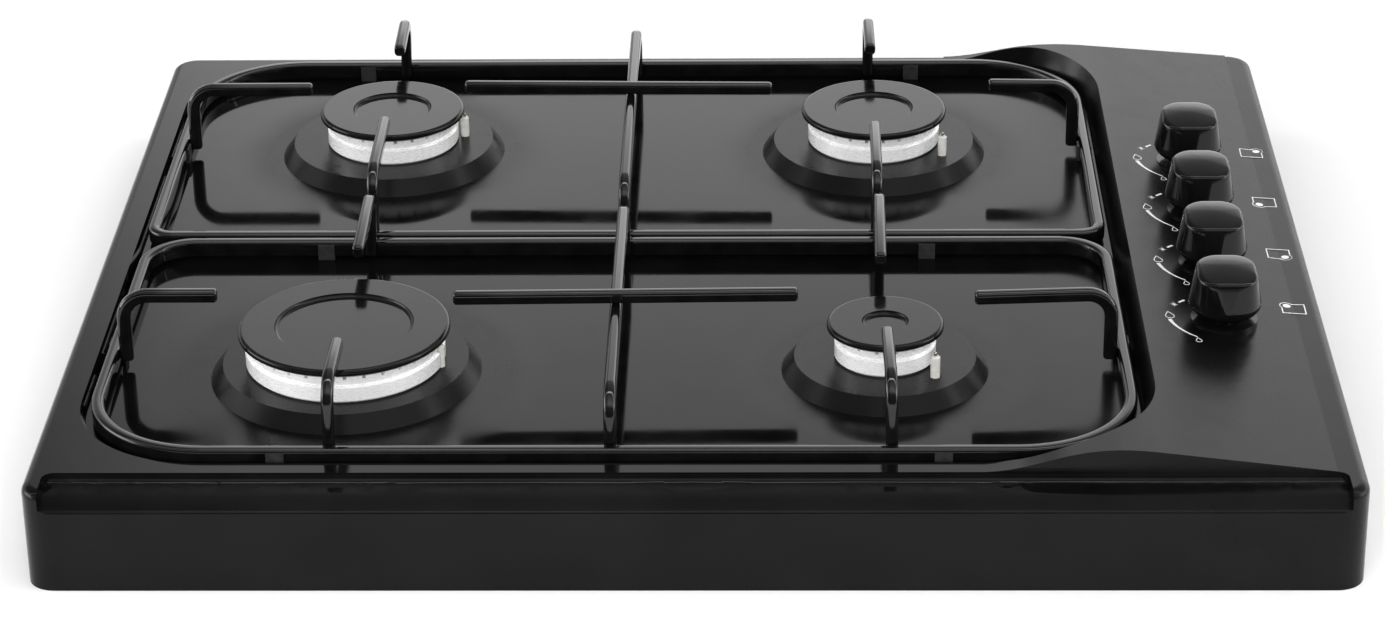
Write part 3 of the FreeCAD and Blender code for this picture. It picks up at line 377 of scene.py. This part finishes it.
def pale_nylon():
    """White nylon of the ignition box and terminal block."""
    s = Shader("pale_nylon", (0.7, 0.68, 0.62), 0.45)
    s.vary_color(s.noise(80.0, 4.0), (0.66, 0.64, 0.58), (0.74, 0.72, 0.66))
    s.vary_roughness(s.noise(400.0, 3.0), 0.38, 0.52)
    s.bump(s.noise(1400.0, 2.0), height_mm=0.003)
    return s.material


def screen_print():
    """White fired print of the dials."""
    s = Shader("screen_print", grey(0.85), 0.35)
    s.vary_color(s.noise(900.0, 3.0), grey(0.78), grey(0.9))
    s.vary_roughness(s.noise(1200.0, 3.0), 0.3, 0.42)
    s.bump(s.noise(2500.0, 2.0), height_mm=0.001)
    return s.material


MATERIALS = {
    "enamel": tray_enamel(),
    "grate_enamel": bar_enamel(),
    "cap_enamel": cap_enamel(),
    "burner_aluminium": cast_aluminium("burner_aluminium", 0.9, 0.98, 0.28, 0.25),
    "cup_aluminium": cast_aluminium("cup_aluminium", 0.45, 0.58, 0.5, 0.85),
    "pipe_aluminium": cast_aluminium("pipe_aluminium", 0.6, 0.72, 0.36, 0.85),
    "knob_plastic": moulded_plastic("knob_plastic", 0.003, 0.07, 0.3),
    "bezel_plastic": moulded_plastic("bezel_plastic", 0.004, 0.15, 0.4),
    "switch_plastic": moulded_plastic("switch_plastic", 0.03, 0.45),
    "box_plastic": pale_nylon(),
    "brass": machined_brass(),
    "galvanised": sheet_steel("galvanised_sheet", 0.55, 0.4),
    "screw_steel": sheet_steel("screw_steel", 0.6, 0.3),
    "tip_steel": sheet_steel("tip_steel", 0.5, 0.35),
    "rubber": black_rubber(),
    "ceramic": white_ceramic(),
    "screen_print": screen_print(),
}


# ---- swept and lofted shapes ----

def add_object(name, bm, slot, smooth):
    """The mesh as an object with its slot's material, flat or smooth up to the sharp angle."""
    bmesh.ops.recalc_face_normals(bm, faces=bm.faces)
    if smooth:
        for face in bm.faces:
            face.smooth = True
        for edge in bm.edges:
            edge.smooth = not edge.is_manifold or edge.calc_face_angle() < SHARP_ANGLE
    mesh = bpy.data.meshes.new(name)
    bm.to_mesh(mesh)
    bm.free()
    mesh.materials.append(MATERIALS[slot])
    made = bpy.data.objects.new(name, mesh)
    bpy.context.scene.collection.objects.link(made)
    return made


def on_circle(radius, degrees):
    turn = math.radians(degrees)
    return Vector((radius * math.cos(turn), radius * math.sin(turn)))


def rounded_outline(half_w, half_h, radius, steps=6):
    """A rounded rectangle about zero, as points."""
    points = []
    for sx, sy, first in ((1, 1, 0), (-1, 1, 90), (-1, -1, 180), (1, -1, 270)):
        middle = Vector((sx * (half_w - radius), sy * (half_h - radius)))
        points += [middle + on_circle(radius, first + 90 * k / steps) for k in range(steps + 1)]
    return points


def bent_path(points, bend):
    """(place, direction) along straight runs joined by arcs."""
    steps = 10
    path = [(points[0], (points[1] - points[0]).normalized())]
    for before, corner, after in zip(points, points[1:], points[2:]):
        arrive = (corner - before).normalized()
        leave = (after - corner).normalized()
        half_turn = arrive.angle(leave) / 2
        first = corner - arrive * bend * math.tan(half_turn)
        middle = corner + (leave - arrive).normalized() * bend / math.cos(half_turn)
        out = (first - middle).normalized()
        for k in range(steps + 1):
            turn = 2 * half_turn * k / steps
            path.append((middle + (out * math.cos(turn) + arrive * math.sin(turn)) * bend,
                         arrive * math.cos(turn) - out * math.sin(turn)))
    path.append((points[-1], (points[-1] - points[-2]).normalized()))
    return path


class Shape:
    """A mesh built up from rings of points, in millimetres."""

    def __init__(self):
        self.bm = bmesh.new()

    def ring(self, points):
        return [self.bm.verts.new(Vector(point) * MM) for point in points]

    def skin(self, rings, closed=False):
        """Faces between neighbouring rings, and over the two ends unless it is closed."""
        pairs = list(zip(rings, rings[1:]))
        if closed:
            pairs.append((rings[-1], rings[0]))
        for low, high in pairs:
            for k in range(len(low)):
                n = (k + 1) % len(low)
                self.bm.faces.new((low[k], low[n], high[n], high[k]))
        if not closed:
            self.bm.faces.new(rings[0][::-1])
            self.bm.faces.new(rings[-1])

    def placed_section(self, place, along, level, section):
        """A ring of the section, square to the path, with its width level."""
        side = (level - along * level.dot(along)).normalized()
        up = side.cross(along)
        return self.ring([place + side * point.x + up * point.y for point in section])

    def bar(self, points, level):
        """A rounded bar bent through the points, with domed ends and its width level."""
        path = bent_path(points, BAR_BEND)
        width, height, radius = BAR
        steps = 5
        dome = []
        for k in range(steps + 1):
            turn = math.pi / 2 * k / steps
            inset = BAR_END_R * (1 - math.sin(turn))
            corner = max(radius - inset, BAR_LEAST_R)
            outline = rounded_outline(width / 2 - inset, height / 2 - inset, corner)
            dome.append((BAR_END_R * (1 - math.cos(turn)), outline))
        rings = []
        place, along = path[0]
        for depth, outline in dome:
            rings.append(self.placed_section(place + along * depth, along, level, outline))
        for place, along in path[1:-1]:
            rings.append(self.placed_section(place, along, level, dome[-1][1]))
        place, along = path[-1]
        for depth, outline in dome[::-1]:
            rings.append(self.placed_section(place - along * depth, along, level, outline))
        self.skin(rings)

    def rail(self, x, y, corners):
        """A closed rail; its corners go round from the front left."""
        width, height, radius = RAIL
        section = rounded_outline(width / 2, height / 2, radius)
        rings = []
        steps = 18
        inner = width / 2
        spots = ((x[0], y[0], 1, 1, 180), (x[1], y[0], -1, 1, 270), (x[1], y[1], -1, -1, 0),
                 (x[0], y[1], 1, -1, 90))
        for (cx, cy, sx, sy, first), corner in zip(spots, corners):
            middle = Vector((cx + sx * corner, cy + sy * corner, RAIL_Z))
            for k in range(steps + 1):
                turn = math.radians(first + 90 * k / steps)
                out = Vector((math.cos(turn), math.sin(turn), 0.0))
                along = Vector((-math.sin(turn), math.cos(turn), 0.0))
                place = middle + out * (corner - inner)
                rings.append(self.placed_section(place, along, out, section))
        self.skin(rings, closed=True)

    def block(self, x, y, z):
        """A rubber foot's block, from its lowest to its highest x, y and z."""
        corners = ((x[0], y[0]), (x[1], y[0]), (x[1], y[1]), (x[0], y[1]))
        self.skin([self.ring([(*corner, height) for corner in corners]) for height in z])

    def finish(self, name, body, node, slot):
        """The object, riding on its body in place of the CAD node."""
        made = add_object(name, self.bm, slot, smooth=True)
        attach(made, body)
        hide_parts(node)


def grate(side):
    """The rails, fingers, bridge, cross bar and feet of one grate."""
    x, y = GRATE_X[side], GRATE_Y[side]
    width = RAIL[0]
    bar_height = BAR[1]
    half_bar = bar_height / 2
    across, ahead = Vector((1, 0, 0)), Vector((0, 1, 0))
    top = BAR_TOP_Z - half_bar
    near, far = y[0] + width + half_bar, y[1] - width - half_bar
    rails = Shape()
    rails.rail(x, y, GRATE_CORNERS[side])
    fingers = Shape()
    for at_back, foot_x, bend_x, tip_x, tip_y in LONG_FINGERS[side]:
        leg = far if at_back else near
        fingers.bar([Vector((foot_x, leg, LEG_Z)), Vector((bend_x, leg, top)),
                     Vector((tip_x, tip_y, top))], across)
    for at_right, leg, tip_x, tip_y in SIDE_FINGERS[side]:
        at = x[1] - width - half_bar if at_right else x[0] + width + half_bar
        fingers.bar([Vector((at, leg, LEG_Z)), Vector((at, leg, top)),
                     Vector((tip_x, tip_y, top))], ahead)
    bridge = Shape()
    foot_x, near_x, far_x = BRIDGES[side]
    low = top - bar_height
    bridge.bar([Vector((foot_x, near, LEG_Z)), Vector((near_x, near, low)),
                Vector((far_x, far, low)), Vector((far_x, far, LEG_Z))], across)
    cross = Shape()
    left, right = CROSS_BARS[side]
    cross.bar([Vector((*left, top)), Vector((*right, top))], ahead)
    feet = Shape()
    inside = width + FOOT_INSIDE
    middle = (x[0] + x[1]) / 2
    proud_near = 0.0 if side == "back" else FOOT_PROUD
    proud_far = 0.0 if side == "front" else FOOT_PROUD
    for at in (middle - FOOT_SPREAD, middle + FOOT_SPREAD):
        feet.block((at - FOOT_HALF, at + FOOT_HALF), (y[0] - proud_near, y[0] + inside), FOOT_Z)
        feet.block((at - FOOT_HALF, at + FOOT_HALF), (y[1] - inside, y[1] + proud_far), FOOT_Z)
    half_way = (y[0] + y[1]) / 2
    beside = (half_way - FOOT_HALF, half_way + FOOT_HALF)
    feet.block((x[0] - FOOT_PROUD, x[0] + inside), beside, FOOT_Z)
    feet.block((x[1] - inside, x[1] + FOOT_PROUD), beside, FOOT_Z)
    body = "grate_" + side
    bent = {"frame": rails, "fingers": fingers, "bridge": bridge, "cross_bar": cross}
    for part, shape in bent.items():
        shape.finish("%s_rounded_%s" % (body, part), body, "%s_%s" % (body, part), "grate_enamel")
    feet.finish(body + "_rubber_feet", body, body + "_feet", "rubber")


def knob_centre(number):
    """Middle of a knob from above, in millimetres."""
    low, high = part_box("knob_%d" % number)
    return Vector(((low[0] + high[0]) / 2 / MM, (low[1] + high[1]) / 2 / MM))


def knob(number):
    """A knob: round foot, body that turns rounded square, and a crisp sloping dome."""
    centre = knob_centre(number)
    shape = Shape()
    wide_z, wide, wide_r = KNOB_WIDE
    top_z, top, top_r = KNOB_TOP

    def dome_height(point):
        rise = KNOB_DOME_R ** 2 - point.x ** 2 - (point.y - KNOB_DOME_BACK) ** 2
        return top_z - KNOB_DOME_R + math.sqrt(rise)

    def ring(points, heights):
        return shape.ring([(centre.x + p.x, centre.y + p.y, z) for p, z in zip(points, heights)])

    steps = 12
    rings = []
    for z, radius in KNOB_FOOT:
        round_foot = rounded_outline(radius, radius, radius - KNOB_FOOT_FLAT, steps)
        rings.append(ring(round_foot, [z] * len(round_foot)))
    wall = rounded_outline(wide, wide, wide_r, steps)
    edge = rounded_outline(top, top, top_r, steps)
    edge_z = [dome_height(point) - KNOB_EDGE_R for point in edge]

    def wall_at(share):
        """The wall's outline at a share of its height, drawn in as it rises."""
        outline = []
        for low, high, z in zip(wall, edge, edge_z):
            outline.append(low.lerp(high, share * (z - wide_z) / (top_z - wide_z)))
        return outline

    for share in KNOB_WALL_RINGS:
        rings.append(ring(wall_at(share), [wide_z + (z - wide_z) * share for z in edge_z]))
    edge_steps = 5
    for k in range(1, edge_steps + 1):
        turn = math.pi / 2 * k / edge_steps
        inward = 1 - KNOB_EDGE_R * (1 - math.cos(turn)) / top
        drop = KNOB_EDGE_R * (1 - math.sin(turn))
        rim = [point * inward for point in wall_at(1.0)]
        rings.append(ring(rim, [dome_height(point) - drop for point in rim]))
    for share in KNOB_DOME_RINGS:
        points = [point * share for point in rim]
        rings.append(ring(points, [dome_height(point) for point in points]))
    shape.skin(rings)
    shape.finish("knob_%d_moulded" % number, "knob_%d" % number, "knob_%d" % number, "knob_plastic")


def dress_nodes():
    """Every node gets the material of its slot."""
    slots = {part["node"]: part["material_slot"] for part in frame["record"]["subparts"]}
    for name, node in nodes.items():
        node.data.materials.clear()
        node.data.materials.append(MATERIALS[slots[name]])


# ---- printed dials ----

def panel_height(x):
    """Height of the panel's face, in millimetres."""
    return max(PANEL_Z - PANEL_FALL * (x - PANEL_X), DECK_Z)


class Print:
    """Thin printed shapes that lie on the panel about one centre."""

    def __init__(self, centre):
        self.centre = centre
        self.bm = bmesh.new()

    def patch(self, outline):
        """One filled outline, a print's thickness deep."""
        rings = []
        for lift in (PRINT_LIFT, PRINT_LIFT + PRINT_THICK):
            ring = []
            for point in outline:
                x, y = self.centre + point
                ring.append(self.bm.verts.new((x * MM, y * MM, (panel_height(x) + lift) * MM)))
            rings.append(ring)
        low, high = rings
        self.bm.faces.new(high)
        self.bm.faces.new(low[::-1])
        for k in range(len(outline)):
            n = (k + 1) % len(outline)
            self.bm.faces.new((low[k], low[n], high[n], high[k]))

    def stroke(self, points, widths):
        """A line through the points, in short patches, with a width at each point."""
        sides = []
        last = len(points) - 1
        closed = (points[0] - points[last]).length < 0.01
        for k, point in enumerate(points):
            before = points[last - 1] if closed and k == 0 else points[max(k - 1, 0)]
            after = points[1] if closed and k == last else points[min(k + 1, last)]
            along = (after - before).normalized()
            across = Vector((-along.y, along.x)) * widths[k] / 2
            sides.append((point + across, point - across))
        for (left, right), (next_left, next_right) in zip(sides, sides[1:]):
            self.patch((left, right, next_right, next_left))

    def arc(self, r_first, r_last, first, last, w_first, w_last, steps):
        """An arc whose radius and width run evenly from one end to the other."""
        points, widths = [], []
        for k in range(steps + 1):
            t = k / steps
            points.append(on_circle(r_first + (r_last - r_first) * t, first + (last - first) * t))
            widths.append(w_first + (w_last - w_first) * t)
        self.stroke(points, widths)

    def finish(self, name):
        """The object, riding on the cooktop."""
        made = add_object(name, self.bm, "screen_print", smooth=False)
        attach(made, "root")


def flame(printed, centre, width, height, line):
    """The outline of a flame: round below, drawn up to a bent tip."""
    points = []
    steps = 28
    for k in range(steps + 1):
        t = 2 * math.pi * k / steps
        up = -math.cos(t)
        rise = (up + 1) / 2
        reach = math.sin(t) * (1 - rise) ** FLAME_DRAWN_IN * FLAME_FULL
        bend = FLAME_LEAN * math.sin(math.pi * rise) - FLAME_TIP_LEAN * rise
        points.append(Vector(centre) + Vector(((reach + bend) * width / 2, up * height / 2)))
    printed.stroke(points, [line] * len(points))


def star(printed, centre, width, height):
    """An eight-pointed star, longer upwards than across."""
    points = []
    corners = 16
    long_ray, short_ray, notch = STAR_REACH
    for k in range(corners):
        turn = math.radians(360 / corners * k)
        share = long_ray if k % 4 == 0 else short_ray if k % 2 == 0 else notch
        points.append(Vector((math.cos(turn) * width / 2, math.sin(turn) * height / 2)) * share)
    middle = Vector(centre)
    for k in range(0, corners, 2):
        before, tip, after = points[k - 1], points[k], points[k + 1]
        printed.patch((middle, middle + before, middle + tip, middle + after))


def dial(number):
    """The marks round one knob: a tick, ignition, full flame, taper and low flame."""
    printed = Print(knob_centre(number))
    printed.arc(*TICK_ARC)
    star(printed, *STAR)
    flame(printed, *FULL_FLAME)
    printed.arc(*TAPER_ARC)
    flame(printed, *LOW_FLAME)
    printed.finish("dial_%d" % number)


def hob_mark(number, corner):
    """A small plan of the hob, with the knob's burner marked in its corner."""
    printed = Print(knob_centre(number) + Vector(HOB_MARK))
    sx, sy = corner
    half_x, half_y = HOB_HALF
    dot = Vector((half_x - HOB_DOT[0], half_y - HOB_DOT[1]))
    drop = math.sqrt(HOB_BULGE_R ** 2 - HOB_DOT[0] ** 2)
    back = math.sqrt(HOB_BULGE_R ** 2 - HOB_DOT[1] ** 2)
    lowest = math.degrees(math.atan2(-drop, HOB_DOT[0]))
    highest = math.degrees(math.atan2(HOB_DOT[1], -back))
    plan = [Vector((dot.x - back, half_y)), Vector((-half_x, half_y)), Vector((-half_x, -half_y)),
            Vector((half_x, -half_y)), Vector((half_x, dot.y - drop))]
    steps = 12
    for k in range(1, steps):
        plan.append(dot + on_circle(HOB_BULGE_R, lowest + (highest - lowest) * k / steps))
    plan.append(plan[0])
    turned = [Vector((point.x * sx, point.y * sy)) for point in plan]
    for first, second in zip(turned, turned[1:]):
        along = (second - first).normalized() * HOB_LINE_END
        printed.stroke((first - along, second + along), (HOB_LINE, HOB_LINE))
    middle = Vector((dot.x * sx, dot.y * sy))
    printed.patch([middle + on_circle(HOB_DOT_R, 15 * k) for k in range(24)])
    printed.finish("hob_mark_%d" % number)


# ---- stage ----

def camera():
    """Looks along the fitted pitch and yaw, with the fitted roll."""
    pitch_cos, pitch_sin = math.cos(CAMERA_PITCH), math.sin(CAMERA_PITCH)
    yaw_cos, yaw_sin = math.cos(CAMERA_YAW), math.sin(CAMERA_YAW)
    forward = Vector((yaw_sin * pitch_cos, yaw_cos * pitch_cos, -pitch_sin))
    level = Vector((yaw_cos, -yaw_sin, 0.0))
    above = level.cross(forward)
    roll_cos, roll_sin = math.cos(CAMERA_ROLL), math.sin(CAMERA_ROLL)
    right = level * roll_cos + above * roll_sin
    up = above * roll_cos - level * roll_sin
    data = bpy.data.cameras.new("camera")
    data.sensor_width = SENSOR_MM
    data.lens = FOCAL_PIXELS / IMAGE_WIDTH * SENSOR_MM
    data.clip_start, data.clip_end = CAMERA_CLIP
    made = bpy.data.objects.new("camera", data)
    turn = Matrix((right, up, -forward)).transposed().to_4x4()
    made.matrix_world = Matrix.Translation(CAMERA_PLACE) @ turn
    bpy.context.scene.collection.objects.link(made)
    bpy.context.scene.camera = made


def area_light(name, place, size, power):
    """A soft lamp aimed at the object, which shows in no reflection."""
    data = bpy.data.lights.new(name, "AREA")
    data.shape = "RECTANGLE"
    data.size, data.size_y = size
    data.energy = power
    made = bpy.data.objects.new(name, data)
    made.location = place
    aim = -Vector(place)
    made.rotation_euler = aim.to_track_quat("-Z", "Y").to_euler()
    made.visible_glossy = False
    bpy.context.scene.collection.objects.link(made)


def floor():
    """A pale floor that takes the object's shadow; its colour falls to grey far from it, painted
    shade that darkens the floor the object reflects.
    """
    mesh = bpy.data.meshes.new("floor")
    low, high = -FLOOR_HALF, FLOOR_HALF
    corners = [(low, low, 0), (high, low, 0), (high, high, 0), (low, high, 0)]
    mesh.from_pydata(corners, [], [(0, 1, 2, 3)])
    made = bpy.data.objects.new("floor", mesh)
    bpy.context.scene.collection.objects.link(made)
    paper = Shader("floor", grey(FLOOR_WHITE), 1.0)
    paper.set("Specular IOR Level", 0.0)
    # Painted shade: the floor's colour runs from white near the object to grey far from it
    near = paper.near((0.0, 0.0, 0.0), FLOOR_PAINTED_SHADE_START, FLOOR_PAINTED_SHADE_FULL)
    paper.vary_color(near, grey(FLOOR_PAINTED_SHADE_GREY), grey(FLOOR_WHITE), 0.0, 1.0)
    mesh.materials.append(paper.material)


def sky_ramp(tree, value, stops):
    """A smooth ramp of greys over a value from 0 to 1."""
    ramp = tree.nodes.new("ShaderNodeValToRGB")
    ramp.color_ramp.interpolation = "EASE"
    first, last = ramp.color_ramp.elements
    first.position, last.position = stops[0][0], stops[-1][0]
    first.color = (*grey(stops[0][1]), 1.0)
    last.color = (*grey(stops[-1][1]), 1.0)
    for position, level in stops[1:-1]:
        ramp.color_ramp.elements.new(position).color = (*grey(level), 1.0)
    tree.links.new(value, ramp.inputs["Fac"])
    return ramp.outputs["Color"]


def studio():
    """World light by direction: over the top from back to front, and softly at the sides."""
    world = bpy.data.worlds.new("studio")
    bpy.context.scene.world = world
    world.use_nodes = True
    tree = world.node_tree
    place = tree.nodes.new("ShaderNodeTexCoord")
    split = tree.nodes.new("ShaderNodeSeparateXYZ")
    tree.links.new(place.outputs["Generated"], split.inputs["Vector"])
    turn = math_node(tree, "ARCTAN2", split.outputs["Z"], split.outputs["Y"])
    over = math_node(tree, "DIVIDE", turn, math.pi)
    arch = sky_ramp(tree, over, [(degrees / 180, level) for degrees, level in SKY_ARCH])
    side = math_node(tree, "MULTIPLY_ADD", split.outputs["X"], 0.5, 0.5)
    sides = sky_ramp(tree, side, SKY_SIDES)
    arch = math_node(tree, "MULTIPLY", arch, sky_ramp(tree, side, SKY_SPAN))
    both = math_node(tree, "ADD", arch, sides)
    background = tree.nodes["Background"]
    background.inputs["Color"].default_value = (1.0, 1.0, 1.0, 1.0)
    tree.links.new(both, background.inputs["Strength"])


dress_nodes()
for side in ("back", "front"):
    grate(side)
for number, corner in enumerate(HOB_CORNERS, 1):
    knob(number)
    dial(number)
    hob_mark(number, corner)
camera()
floor()
studio()
area_light(*LAMP)
bpy.context.scene.view_settings.view_transform = "Standard"
